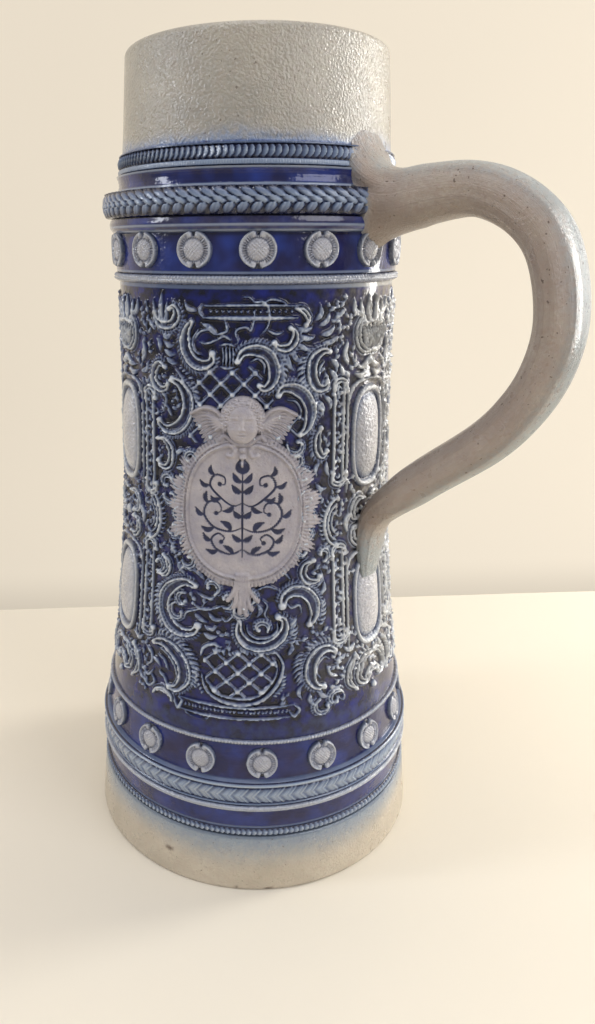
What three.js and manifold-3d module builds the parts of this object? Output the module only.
// A two-litre salt-glazed stoneware jug with applied relief, in millimetres, +Z up.
// The origin is the middle of the flat underside, and the handle points along +X.

import * as THREE from 'three';
import { mergeVertices } from 'three/addons/utils/BufferGeometryUtils.js';
import Module from 'manifold-3d';

const wasm = await Module();
wasm.setup();

// Heights of the zones, from the underside up

const footHeight = 24.5;
const lowerRopeHeight = 3.5;
const stripeHeight = 8.5;
const footRingHeight = 2.5;
const leafBandHeight = 10;
const lowerFriezeHeight = 15;
const lowerMilledHeight = 2;
const barrelHeight = 164.5;
const upperMilledHeight = 3.5;
const upperFriezeHeight = 13;
const collarHeight = 4.5;
const braidHeight = 9;
const coveHeight = 5.5;
const upperRopeHeight = 7;
const neckHeight = 32.6;

// Outer radii of the bare wall

const footBaseRadius = 71.4;
const footTopRadius = 69.3;
const bandSeatRadius = 67.8;
const lowerFriezeFootRadius = 66;
const barrelFootRadius = 63.4;
const barrelTopRadius = 51.8;
const upperFriezeRadius = 52.7;
const collarRadius = 54.1;
const braidSeatRadius = 52;
const coveRadius = 51.1;
const coveDepth = 0.7;
const upperRopeSeatRadius = 48.9;
const neckFootRadius = 48.6;
const neckTopRadius = 46.2;

// Wall, floor and clearance

const barrelWall = 7.9;
const neckWall = 6;
const lipRound = 2;
const floorThickness = 9;
const footEdge = 0.8;
const seatGap = 0.3;
const barrelCurve = 2.45;
const turnSteps = 48;

// How far each applied band stands out from the wall that it sits on

const lowerRopeStand = 1.7;
const footRingStand = 1.6;
const leafBandStand = 1.3;
const lowerMilledStand = 1.5;
const upperMilledStand = 2.1;
const braidStand = 4.9;
const upperRopeStand = 2;

// Strap handle

const handleReach = 64.8;
const handleThickness = 17;
const handleWidth = 19;
const rootWidth = 30;
const rootThickness = 32;
const throatWidth = 24;
const throatThickness = 24;
const heelWidth = 14;
const heelThickness = 13;
const tailWidth = 7;
const tailThickness = 4.5;
const tailLift = 1.35;
const heelLift = 3;
const tailLength = 20;
const heelHeight = 149;

// Sprigs

const upperRosetteCount = 16;
const lowerRosetteCount = 17;
const rosetteWidth = 12.2;
const rosetteHeight = 11.8;
const rosetteRelief = 2;
const rosetteEdge = 1.1;
const upperRosetteRise = 1;
const upperRosetteAngle = -5.2;
const lowerRosetteAngle = -5.7;
const cartoucheWidth = 59;
const cartoucheTop = 24;
const cartoucheBottom = 26.5;
const cartoucheDrop = 39;
const cartoucheMiddle = 154;
const cartoucheSquareness = 2.3;
const cartoucheDropSharpness = 200;
const cartoucheRelief = 2.2;
const cartoucheField = 0.9;
const headWidth = 16;
const headHeight = 17;
const headRelief = 4.6;
const wingSpan = 37;
const wingRelief = 1.8;
const panelWidth = 19;
const panelHeight = 38;
const panelRelief = 1.3;
const upperPanelRise = 28;
const lowerPanelFall = 36;
const sidePilasterAngle = 114;
const sideCartoucheAngle = 55.5;

// Scrollwork moulded in the barrel's wall. A line's points are [degrees, share of the barrel's
// height], where a face's middle is at faceMiddle degrees and a pilaster's at 0.

const scrollRelief = 1.2;
const scrollSink = 0.8;
const scrollEnd = 0.55;
const scrollCrest = 0.6;
const faceMiddle = -4.5;
const sprigMargin = 0.5;
const smallScroll = 2.8;
const slimScroll = 3.7;
const fullScroll = 4.2;
const broadScroll = 4.6;
const stripWidth = 4.8;
const faceScrolls = [
  { width: slimScroll, line: [[-23.6, 0.93], [-26.2, 0.894], [-23.5, 0.853], [-19.8, 0.845], [-15.6, 0.868]] },
  { width: slimScroll, line: [[-5.2, 0.863], [0.5, 0.877], [6, 0.857], [6.6, 0.816], [1.6, 0.806]] },
  { width: fullScroll, line: [[-32.8, 0.811], [-27, 0.788], [-26.6, 0.736], [-33, 0.703], [-39.6, 0.721]] },
  { width: fullScroll, line: [[8.6, 0.785], [14.8, 0.798], [21, 0.757], [17.2, 0.702]] },
  { width: slimScroll, line: [[28.6, 0.869], [22, 0.854], [22.4, 0.806], [28, 0.809]] },
  { width: broadScroll, line: [[-22.3, 0.356], [-31, 0.35], [-36.4, 0.295], [-30, 0.242], [-21.2, 0.263]] },
  { width: fullScroll, line: [[10.6, 0.32], [14, 0.351], [22, 0.328], [21, 0.269]] },
  { width: slimScroll, line: [[-5.2, 0.286], [-3.4, 0.238], [4, 0.226], [11.2, 0.261], [8.9, 0.295]] },
  { width: broadScroll, line: [[-40.5, 0.192], [-31.5, 0.191], [-25.8, 0.128], [-32, 0.095]] },
  { width: slimScroll, line: [[31.5, 0.191], [23, 0.192], [21, 0.139], [26, 0.112]] },
  { width: broadScroll, line: [[-20, 0.95], [-2, 0.95], [17, 0.95]] },
  { width: broadScroll, line: [[-28, 0.064], [-6, 0.063], [15, 0.064]] },
  { width: stripWidth, line: [[-45.1, 0.553], [-45.1, 0.784]] },
  { width: stripWidth, line: [[-45.1, 0.207], [-45.1, 0.438]] },
  { width: stripWidth, line: [[33.8, 0.584], [33.8, 0.809]] },
  { width: stripWidth, line: [[33.8, 0.207], [33.8, 0.438]] },
];
const pilasterScrolls = [
  { width: smallScroll, line: [[0.5, 0.863], [7.4, 0.881], [7.2, 0.92]] },
  { width: smallScroll, line: [[0.5, 0.146], [7.4, 0.122], [3.4, 0.085]] },
];

// Zone boundaries worked out from the heights

const lowerRopeFoot = footHeight;
const stripeFoot = lowerRopeFoot + lowerRopeHeight;
const footRingFoot = stripeFoot + stripeHeight;
const leafBandFoot = footRingFoot + footRingHeight;
const lowerFriezeFoot = leafBandFoot + leafBandHeight;
const lowerMilledFoot = lowerFriezeFoot + lowerFriezeHeight;
const barrelFoot = lowerMilledFoot + lowerMilledHeight;
const barrelTop = barrelFoot + barrelHeight;
const upperFriezeFoot = barrelTop + upperMilledHeight;
const collarFoot = upperFriezeFoot + upperFriezeHeight;
const braidFoot = collarFoot + collarHeight;
const coveFoot = braidFoot + braidHeight;
const upperRopeFoot = coveFoot + coveHeight;
const neckFoot = upperRopeFoot + upperRopeHeight;
const jugHeight = neckFoot + neckHeight;
const footJoint = lowerRopeFoot + lowerRopeHeight / 2;
const neckJoint = barrelTop + upperMilledHeight / 2;
const upperPanelMiddle = heelHeight + upperPanelRise;
const lowerPanelMiddle = heelHeight - lowerPanelFall;

const glaze = {
  bareGrey: new THREE.MeshStandardMaterial({ color: 0x9c9484, roughness: 0.35, metalness: 0 }),
  cobalt: new THREE.MeshStandardMaterial({ color: 0x1c2450, roughness: 0.25, metalness: 0 }),
  paleBlue: new THREE.MeshStandardMaterial({ color: 0xaeb0c4, roughness: 0.35, metalness: 0 }),
  sprigGrey: new THREE.MeshStandardMaterial({ color: 0xb6ab9c, roughness: 0.45, metalness: 0 }),
  beige: new THREE.MeshStandardMaterial({ color: 0xb8a793, roughness: 0.5, metalness: 0 }),
};

const jug = new THREE.Group();

// A closed surface with shared vertices and its faces pointing out

function closedBody(geometry) {
  geometry.deleteAttribute('normal');
  geometry.deleteAttribute('uv');
  const merged = mergeVertices(geometry, 1e-3);
  const corners = merged.getAttribute('position');
  const faces = [];
  let volume = 0;
  const a = new THREE.Vector3();
  const b = new THREE.Vector3();
  const c = new THREE.Vector3();
  for (let i = 0; i < merged.index.count; i += 3) {
    const face = [merged.index.getX(i), merged.index.getX(i + 1), merged.index.getX(i + 2)];
    if (face[0] === face[1] || face[1] === face[2] || face[2] === face[0]) {
      continue;
    }
    a.fromBufferAttribute(corners, face[0]);
    b.fromBufferAttribute(corners, face[1]);
    c.fromBufferAttribute(corners, face[2]);
    volume += a.dot(b.cross(c));
    faces.push(face);
  }
  const outward = volume < 0 ? faces.map(([p, q, r]) => [p, r, q]) : faces;
  merged.setIndex(outward.flat());
  merged.computeVertexNormals();
  return merged;
}

// A ring or disc turned about the Z axis from [radius, height] pairs

function turned(profile) {
  const points = profile.map(([radius, height]) => new THREE.Vector2(radius, height));
  const geometry = new THREE.LatheGeometry(points, turnSteps);
  geometry.rotateX(Math.PI / 2);
  return closedBody(geometry);
}

function addPiece(name, geometry, material) {
  const mesh = new THREE.Mesh(geometry, material);
  mesh.name = name;
  jug.add(mesh);
  return mesh;
}

function solidOf(geometry) {
  return new wasm.Manifold(new wasm.Mesh({
    numProp: 3,
    vertProperties: new Float32Array(geometry.getAttribute('position').array),
    triVerts: new Uint32Array(geometry.index.array),
  }));
}

function geometryOf(solid) {
  const mesh = solid.getMesh();
  const geometry = new THREE.BufferGeometry();
  geometry.setAttribute('position', new THREE.BufferAttribute(mesh.vertProperties, 3));
  geometry.setIndex(new THREE.BufferAttribute(mesh.triVerts, 1));
  geometry.computeVertexNormals();
  return geometry;
}

// The bare outside of the wall, as [radius, height] pairs from the underside up

function barrelRadius(height) {
  const climb = THREE.MathUtils.clamp((height - barrelFoot) / barrelHeight, 0, 1);
  return barrelTopRadius + (barrelFootRadius - barrelTopRadius) * (1 - climb) ** barrelCurve;
}

function footOutside() {
  return [
    [footBaseRadius - footEdge, 0],
    [footBaseRadius, footEdge],
    [footTopRadius, footHeight],
    [bandSeatRadius, footHeight],
  ];
}

function barrelOutside() {
  const rows = 9;
  const profile = [
    [bandSeatRadius, lowerFriezeFoot],
    [lowerFriezeFootRadius, lowerFriezeFoot],
    [barrelFootRadius, lowerMilledFoot],
  ];
  for (let row = 0; row <= rows; row += 1) {
    const height = barrelFoot + barrelHeight * row / rows;
    profile.push([barrelRadius(height), height]);
  }
  return profile;
}

function neckOutside() {
  return [
    [barrelTopRadius, upperFriezeFoot],
    [upperFriezeRadius, upperFriezeFoot],
    [upperFriezeRadius, collarFoot],
    [collarRadius, braidFoot],
    [braidSeatRadius, braidFoot],
    [braidSeatRadius, coveFoot],
    [coveRadius, coveFoot],
    [coveRadius - coveDepth, coveFoot + coveHeight / 2],
    [coveRadius, upperRopeFoot],
    [upperRopeSeatRadius, upperRopeFoot],
    [neckFootRadius, neckFoot],
  ];
}

function lipArc() {
  const steps = 3;
  const shoulder = jugHeight - lipRound;
  const arc = [];
  for (const [middle, start] of [
    [neckTopRadius - lipRound, 0],
    [neckTopRadius - neckWall + lipRound, Math.PI / 2],
  ]) {
    for (let step = 0; step <= steps; step += 1) {
      const angle = start + Math.PI / 2 * step / steps;
      arc.push([middle + lipRound * Math.cos(angle), shoulder + lipRound * Math.sin(angle)]);
    }
  }
  return arc;
}

const outside = [...footOutside(), ...barrelOutside(), ...neckOutside(), ...lipArc()];

// Outer radius of the bare wall at a height, on the straight lines between the profile's points

function wallRadius(height) {
  for (let i = 1; i < outside.length; i += 1) {
    const [lowerRadius, lower] = outside[i - 1];
    const [upperRadius, upper] = outside[i];
    if (height >= lower && height <= upper && upper > lower) {
      return lowerRadius + (upperRadius - lowerRadius) * (height - lower) / (upper - lower);
    }
  }
  return neckTopRadius;
}

// Walls and floor

const cavityRadius = bandSeatRadius - barrelWall;

function floorDisc() {
  const radius = cavityRadius - seatGap;
  return turned([
    [0, 0],
    [radius, 0],
    [radius, floorThickness],
    [0, floorThickness],
  ]);
}

function footWall() {
  return turned([
    [cavityRadius, 0],
    ...footOutside(),
    [bandSeatRadius, footJoint],
    [cavityRadius, footJoint],
    [cavityRadius, 0],
  ]);
}

function barrelShell() {
  const rows = 5;
  const inside = [];
  for (let row = rows; row >= 0; row -= 1) {
    const height = barrelFoot + barrelHeight * row / rows;
    inside.push([barrelRadius(height) - barrelWall, height]);
  }
  const top = neckJoint - seatGap;
  const bottom = footJoint + seatGap;
  return turned([
    [bandSeatRadius, bottom],
    ...barrelOutside(),
    [barrelTopRadius, top],
    [barrelTopRadius - barrelWall, top],
    ...inside,
    [cavityRadius, leafBandFoot],
    [cavityRadius, bottom],
    [bandSeatRadius, bottom],
  ]);
}

function neckShell() {
  return turned([
    [barrelTopRadius - barrelWall, neckJoint],
    [barrelTopRadius, neckJoint],
    ...neckOutside(),
    ...lipArc(),
    [neckFootRadius - neckWall, neckFoot],
    [barrelTopRadius - barrelWall, neckJoint],
  ]);
}

// A band luted round the wall: flat at its seat and rounded outside

function bandRing(zoneFoot, zoneHeight, stand, arcSteps) {
  const bottom = zoneFoot + seatGap / 2;
  const top = zoneFoot + zoneHeight - seatGap / 2;
  const lowerSeat = wallRadius(bottom) + seatGap;
  const upperSeat = wallRadius(top) + seatGap;
  const profile = [[lowerSeat, bottom]];
  for (let step = 0; step <= arcSteps; step += 1) {
    const share = step / arcSteps;
    const height = bottom + (top - bottom) * share;
    const bulge = 0.55 + 0.45 * Math.sin(Math.PI * share);
    const seat = lowerSeat + (upperSeat - lowerSeat) * share;
    profile.push([seat + (stand - seatGap) * bulge, height]);
  }
  profile.push([upperSeat, top], [lowerSeat, bottom]);
  return turned(profile);
}

// A sprig: a thin relief on the wall, given by its outline and its relief over a polar grid

function wallPoint(bearing, middle, across, up, lift) {
  const height = middle + up;
  const radius = wallRadius(height) + seatGap + lift;
  const angle = THREE.MathUtils.degToRad(bearing) + across / wallRadius(middle);
  return [radius * Math.cos(angle), radius * Math.sin(angle), height];
}

function sprig({ bearing, middle, sectors, innerRings, topRings, outline, relief, seat = 0 }) {
  const positions = [];
  const index = [];
  const addCentre = (lift) => {
    positions.push(...wallPoint(bearing, middle, 0, 0, lift));
    return positions.length / 3 - 1;
  };
  const addRing = (share, liftOf) => {
    const first = positions.length / 3;
    for (let sector = 0; sector < sectors; sector += 1) {
      const angle = 2 * Math.PI * sector / sectors;
      const [across, up] = outline(angle);
      positions.push(...wallPoint(bearing, middle, across * share, up * share, liftOf(share, angle)));
    }
    return first;
  };
  const fan = (centre, ring) => {
    for (let sector = 0; sector < sectors; sector += 1) {
      index.push(centre, ring + sector, ring + (sector + 1) % sectors);
    }
  };
  const strip = (inner, outer) => {
    for (let sector = 0; sector < sectors; sector += 1) {
      const next = (sector + 1) % sectors;
      index.push(inner + sector, outer + sector, outer + next);
      index.push(inner + sector, outer + next, inner + next);
    }
  };
  let previous = addRing(1 / topRings, relief);
  fan(addCentre(relief(0, 0)), previous);
  for (let ring = 2; ring <= topRings; ring += 1) {
    const next = addRing(ring / topRings, relief);
    strip(previous, next);
    previous = next;
  }
  for (let ring = innerRings; ring >= 1; ring -= 1) {
    const next = addRing(ring / innerRings, () => seat);
    strip(previous, next);
    previous = next;
  }
  const centre = addCentre(seat);
  for (let sector = 0; sector < sectors; sector += 1) {
    index.push(centre, previous + (sector + 1) % sectors, previous + sector);
  }
  const geometry = new THREE.BufferGeometry();
  geometry.setAttribute('position', new THREE.Float32BufferAttribute(positions, 3));
  geometry.setIndex(index);
  return closedBody(geometry);
}

function ovalOutline(width, height, squareness) {
  const bend = (value) => Math.sign(value) * Math.abs(value) ** (2 / squareness);
  return (angle) => [width / 2 * bend(Math.cos(angle)), height / 2 * bend(Math.sin(angle))];
}

function rosette(bearing, middle) {
  return sprig({
    bearing,
    middle,
    sectors: 8,
    innerRings: 1,
    topRings: 2,
    outline: ovalOutline(rosetteWidth, rosetteHeight, 2.2),
    relief: (share) => rosetteRelief + (rosetteEdge - rosetteRelief) * share,
  });
}

function cartouche(bearing, margin = 0) {
  const oval = ovalOutline(cartoucheWidth + 2 * margin, 2, cartoucheSquareness);
  const outline = (angle) => {
    const [across, up] = oval(angle);
    const reach = up > 0 ? cartoucheTop : cartoucheBottom;
    const drop = (cartoucheDrop - cartoucheBottom) * Math.max(0, -up) ** cartoucheDropSharpness;
    return [across, up * (reach + drop + margin)];
  };
  return sprig({
    bearing,
    middle: cartoucheMiddle,
    sectors: 40,
    innerRings: 3,
    topRings: 4,
    outline,
    relief: (share) => margin + (share > 0.7 && share < 0.9 ? cartoucheRelief : cartoucheField),
    seat: -4 * margin,
  });
}

function wingedHead(bearing, margin = 0) {
  const outline = (angle) => {
    const across = Math.cos(angle);
    const wing = (wingSpan - headWidth) / 2 * Math.abs(across) ** 6;
    const reach = (headWidth / 2 + margin) * Math.abs(across) + wing;
    return [Math.sign(across) * reach, (headHeight / 2 + margin) * Math.sin(angle)];
  };
  return sprig({
    bearing,
    middle: cartoucheMiddle + cartoucheTop + seatGap + headHeight / 2,
    sectors: 20,
    innerRings: 3,
    topRings: 3,
    outline,
    relief: (share) => (
      margin + wingRelief + (headRelief - wingRelief) * Math.sqrt(Math.max(0, 1 - share * 1.5))
    ),
    seat: -4 * margin,
  });
}

function longPanel(bearing, middle, grow, seat = 0) {
  return sprig({
    bearing,
    middle,
    sectors: 16,
    innerRings: 1,
    topRings: 2,
    outline: ovalOutline(panelWidth + grow, panelHeight + grow, 3),
    relief: () => panelRelief + grow,
    seat,
  });
}

// One scroll: a strap with sloping sides along its line, sunk a little way into the wall

function scrollStrap({ width, line }, middle, mirror) {
  const arc = THREE.MathUtils.degToRad(1) * barrelRadius(barrelFoot + barrelHeight / 2);
  const knots = line.map(([degrees, share]) => (
    new THREE.Vector3(mirror * degrees * arc, barrelFoot + share * barrelHeight, 0)
  ));
  const curve = new THREE.CatmullRomCurve3(knots, false, 'centripetal');
  const steps = line.length === 2 ? 1 : Math.ceil(1.4 * (line.length - 1));
  const positions = [];
  const index = [];
  for (let step = 0; step <= steps; step += 1) {
    const share = step / steps;
    const point = curve.getPointAt(share);
    const tangent = curve.getTangentAt(share);
    const taper = steps === 1 ? 1 : scrollEnd + (1 - scrollEnd) * Math.sin(Math.PI * share);
    for (const [side, lift] of [
      [-1, -scrollSink],
      [1, -scrollSink],
      [scrollCrest, scrollRelief],
      [-scrollCrest, scrollRelief],
    ]) {
      const across = point.x - tangent.y * side * width / 2 * taper;
      const height = point.y + tangent.x * side * width / 2 * taper;
      const radius = barrelRadius(height) + lift;
      const angle = THREE.MathUtils.degToRad(middle) + across / (arc * 180 / Math.PI);
      positions.push(radius * Math.cos(angle), radius * Math.sin(angle), height);
    }
  }
  for (let step = 0; step < steps; step += 1) {
    for (let corner = 0; corner < 4; corner += 1) {
      const next = (corner + 1) % 4;
      const here = step * 4;
      index.push(here + corner, here + 4 + corner, here + 4 + next);
      index.push(here + corner, here + 4 + next, here + next);
    }
  }
  const last = steps * 4;
  index.push(0, 1, 2, 0, 2, 3, last, last + 2, last + 1, last, last + 3, last + 2);
  const geometry = new THREE.BufferGeometry();
  geometry.setAttribute('position', new THREE.Float32BufferAttribute(positions, 3));
  geometry.setIndex(index);
  return solidOf(closedBody(geometry));
}

// The room that the handle's lower end needs on the wall

function handleRoom() {
  const top = heelHeight + heelThickness;
  const foot = heelHeight - tailLength - heelThickness / 2;
  const room = new THREE.BoxGeometry(barrelFootRadius, heelWidth + 8 * sprigMargin, top - foot);
  room.translate(barrelFootRadius, 0, (top + foot) / 2);
  return closedBody(room);
}

function carvedBarrel() {
  const faces = [-sideCartoucheAngle, sideCartoucheAngle, 180];
  let relief = null;
  const raise = (strap) => {
    relief = relief ? relief.add(strap) : strap;
  };
  for (const bearing of faces) {
    for (const scroll of faceScrolls) {
      raise(scrollStrap(scroll, bearing - faceMiddle, 1));
    }
  }
  for (const bearing of [0, sidePilasterAngle, -sidePilasterAngle]) {
    for (const scroll of pilasterScrolls) {
      raise(scrollStrap(scroll, bearing, 1));
      raise(scrollStrap(scroll, bearing, -1));
    }
  }
  for (const bearing of faces) {
    relief = relief.subtract(solidOf(cartouche(bearing, sprigMargin)));
    relief = relief.subtract(solidOf(wingedHead(bearing, sprigMargin)));
  }
  for (const bearing of [0, sidePilasterAngle, -sidePilasterAngle]) {
    for (const middle of [upperPanelMiddle, lowerPanelMiddle]) {
      relief = relief.subtract(solidOf(longPanel(bearing, middle, 2 * sprigMargin, -4 * sprigMargin)));
    }
  }
  relief = relief.subtract(solidOf(handleRoom()));
  return geometryOf(solidOf(barrelShell()).add(relief));
}

// The strap handle: a rounded section carried along a curve in the XZ plane

const strapShape = [
  [-0.08, 0],
  [0.13, 0],
  [0.295, -0.025],
  [0.523, -0.03],
  [0.716, 0.01],
  [0.875, 0.091],
  [0.961, 0.2],
  [1, 0.338],
  [0.963, 0.466],
  [0.866, 0.58],
  [0.708, 0.695],
  [0.397, 0.847],
  [0.156, 0.98],
];

function handlePath() {
  const rootHeight = braidFoot + braidHeight / 2;
  const drop = rootHeight - heelHeight;
  const points = strapShape.map(([reach, fall]) => (
    new THREE.Vector3(barrelTopRadius + handleReach * reach, 0, rootHeight - drop * fall)
  ));
  for (const share of [0.3, 0.65, 1]) {
    const height = heelHeight - tailLength * share;
    const lift = panelRelief + 2 * seatGap + tailLift + heelLift * (1 - share) ** 3;
    points.push(new THREE.Vector3(wallRadius(height) + lift, 0, height));
  }
  return new THREE.CatmullRomCurve3(points, false, 'centripetal');
}

// Width and thickness at each share of the handle's length, blended between a few named stations

const handleStations = [
  [0, rootWidth, rootThickness],
  [0.055, throatWidth, throatThickness],
  [0.13, handleWidth, handleThickness],
  [0.7, handleWidth, handleThickness],
  [0.9, heelWidth, heelThickness],
  [1, tailWidth, tailThickness],
];

function stationAt(share) {
  for (let i = 1; i < handleStations.length; i += 1) {
    const [from, fromWidth, fromThickness] = handleStations[i - 1];
    const [to, toWidth, toThickness] = handleStations[i];
    if (share <= to) {
      const blend = (share - from) / (to - from);
      return [
        THREE.MathUtils.lerp(fromWidth, toWidth, blend),
        THREE.MathUtils.lerp(fromThickness, toThickness, blend),
      ];
    }
  }
  return [tailWidth, tailThickness];
}

function sweptHandle() {
  const stations = 30;
  const sides = 14;
  const path = handlePath();
  const positions = [];
  const index = [];
  const side = new THREE.Vector3(0, 1, 0);
  for (let station = 0; station <= stations; station += 1) {
    const share = station / stations;
    const middle = path.getPointAt(share);
    const normal = new THREE.Vector3().crossVectors(side, path.getTangentAt(share));
    const [width, thickness] = stationAt(share);
    for (let corner = 0; corner < sides; corner += 1) {
      const angle = 2 * Math.PI * corner / sides;
      const point = middle.clone();
      point.addScaledVector(side, width / 2 * Math.cos(angle));
      point.addScaledVector(normal, thickness / 2 * Math.sin(angle));
      positions.push(point.x, point.y, point.z);
    }
  }
  for (let station = 0; station < stations; station += 1) {
    for (let corner = 0; corner < sides; corner += 1) {
      const next = (corner + 1) % sides;
      const here = station * sides;
      const there = here + sides;
      index.push(here + corner, there + corner, there + next);
      index.push(here + corner, there + next, here + next);
    }
  }
  for (let corner = 1; corner < sides - 1; corner += 1) {
    const last = stations * sides;
    index.push(0, corner, corner + 1);
    index.push(last, last + corner + 1, last + corner);
  }
  const geometry = new THREE.BufferGeometry();
  geometry.setAttribute('position', new THREE.Float32BufferAttribute(positions, 3));
  geometry.setIndex(index);
  return closedBody(geometry);
}

// What the handle is luted over: the wall with its bands, grown by the seat gap

function seatEnvelope() {
  const grown = (stand) => stand + 2 * seatGap;
  const braidSteps = 6;
  const profile = [[0, 0], [footBaseRadius + seatGap, 0], [footTopRadius + seatGap, footHeight]];
  profile.push([lowerFriezeFootRadius + seatGap, lowerFriezeFoot]);
  profile.push(...barrelOutside().slice(2).map(([radius, height]) => [radius + seatGap, height]));
  profile.push([upperFriezeRadius + grown(rosetteRelief), upperFriezeFoot]);
  profile.push([upperFriezeRadius + grown(rosetteRelief), collarFoot]);
  profile.push([collarRadius + seatGap, braidFoot - seatGap]);
  for (let step = 0; step <= braidSteps; step += 1) {
    const share = step / braidSteps;
    const bulge = 0.55 + 0.45 * Math.sin(Math.PI * share);
    profile.push([braidSeatRadius + grown(braidStand * bulge), braidFoot + braidHeight * share]);
  }
  profile.push([coveRadius + seatGap, coveFoot + 2 * seatGap]);
  profile.push([upperRopeSeatRadius + grown(upperRopeStand), upperRopeFoot]);
  profile.push([neckFootRadius + grown(upperRopeStand), neckFoot]);
  profile.push([neckTopRadius + seatGap, jugHeight], [0, jugHeight]);
  return turned(profile);
}

function handle() {
  const seat = solidOf(seatEnvelope());
  const panel = solidOf(longPanel(0, lowerPanelMiddle, seatGap));
  return geometryOf(solidOf(sweptHandle()).subtract(seat).subtract(panel));
}

// The assembly

addPiece('base_disc', floorDisc(), glaze.beige);
addPiece('foot_wall', footWall(), glaze.beige);
addPiece('barrel_wall', carvedBarrel(), glaze.cobalt);
addPiece('neck_wall', neckShell(), glaze.bareGrey);
const bands = [
  ['rope_band_lower', lowerRopeFoot, lowerRopeHeight, lowerRopeStand, 3, glaze.paleBlue],
  ['foot_ring', footRingFoot, footRingHeight, footRingStand, 2, glaze.sprigGrey],
  ['leaf_band', leafBandFoot, leafBandHeight, leafBandStand, 3, glaze.paleBlue],
  ['milled_ring_lower', lowerMilledFoot, lowerMilledHeight, lowerMilledStand, 2, glaze.sprigGrey],
  ['milled_ring_upper', barrelTop, upperMilledHeight, upperMilledStand, 3, glaze.sprigGrey],
  ['braid_band', braidFoot, braidHeight, braidStand, 5, glaze.paleBlue],
  ['rope_band_upper', upperRopeFoot, upperRopeHeight, upperRopeStand, 3, glaze.paleBlue],
];

for (const [name, foot, height, stand, arcSteps, material] of bands) {
  addPiece(name, bandRing(foot, height, stand, arcSteps), material);
}

for (let i = 0; i < upperRosetteCount; i += 1) {
  const bearing = upperRosetteAngle - 360 * i / upperRosetteCount;
  const middle = upperFriezeFoot + upperFriezeHeight / 2 + upperRosetteRise;
  addPiece(`rosette_upper_${i + 1}`, rosette(bearing, middle), glaze.sprigGrey);
}

for (let i = 0; i < lowerRosetteCount; i += 1) {
  const bearing = lowerRosetteAngle - 360 * i / lowerRosetteCount;
  const middle = lowerFriezeFoot + lowerFriezeHeight / 2;
  addPiece(`rosette_lower_${i + 1}`, rosette(bearing, middle), glaze.sprigGrey);
}

[-sideCartoucheAngle, sideCartoucheAngle, 180].forEach((bearing, i) => {
  addPiece(`cartouche_${i + 1}`, cartouche(bearing), glaze.beige);
  addPiece(`winged_head_${i + 1}`, wingedHead(bearing), glaze.beige);
});

[0, sidePilasterAngle, -sidePilasterAngle].forEach((bearing, i) => {
  addPiece(`panel_upper_${i + 1}`, longPanel(bearing, upperPanelMiddle, 0), glaze.sprigGrey);
  addPiece(`panel_lower_${i + 1}`, longPanel(bearing, lowerPanelMiddle, 0), glaze.sprigGrey);
});

addPiece('handle', handle(), glaze.bareGrey);

export default jug;
